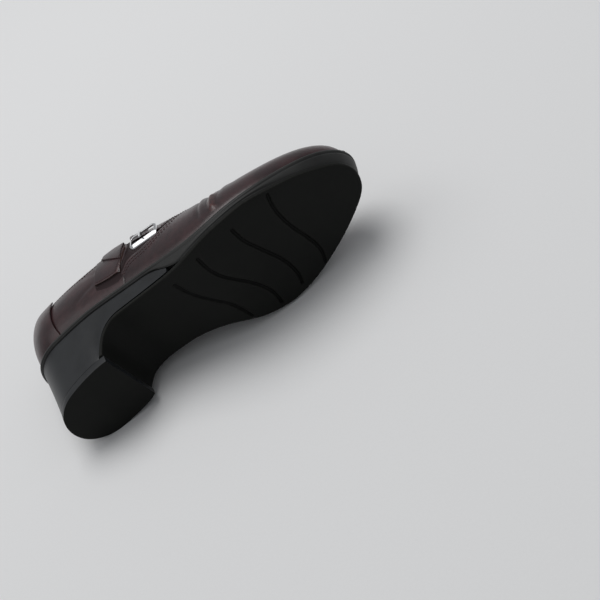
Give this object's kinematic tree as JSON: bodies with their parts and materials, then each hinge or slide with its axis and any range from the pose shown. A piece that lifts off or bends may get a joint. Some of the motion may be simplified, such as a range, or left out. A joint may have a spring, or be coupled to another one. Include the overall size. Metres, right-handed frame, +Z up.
{
  "type": "block-heeled buckled shoe",
  "caption": "Low-cut leather shoe with an instep strap and buckle, a block heel and a grooved rubber sole, lying on its inner side.",
  "frame": {"origin": "centre of the underside of the box round the lying shoe, on the floor", "axes": "+X from the heel to the toe, +Y from the sole to the collar, +Z up from the inner side that the shoe lies on to its outer side"},
  "size_m": [0.2598, 0.121, 0.0908],
  "materials": {
    "burgundy_leather": "burnished",
    "dark_burgundy_leather": "burnished",
    "black_rubber": "matt",
    "glossy_black_rubber": "satin",
    "stitched_rand": "satin",
    "lining_leather": "matt",
    "polished_steel": "polished"
  },
  "bodies": {
    "root": {"outsole": "black_rubber", "top_lift": "black_rubber", "heel_block": "glossy_black_rubber", "rand": "stitched_rand", "insole": "lining_leather", "upper": "burgundy_leather", "instep_saddle": "burgundy_leather", "counter": "burgundy_leather", "buckle_strap": "dark_burgundy_leather", "strap_end": "dark_burgundy_leather", "buckle_frame": "polished_steel", "buckle_prong": "polished_steel", "strap_loop": "polished_steel"}
  },
  "joints": []
}
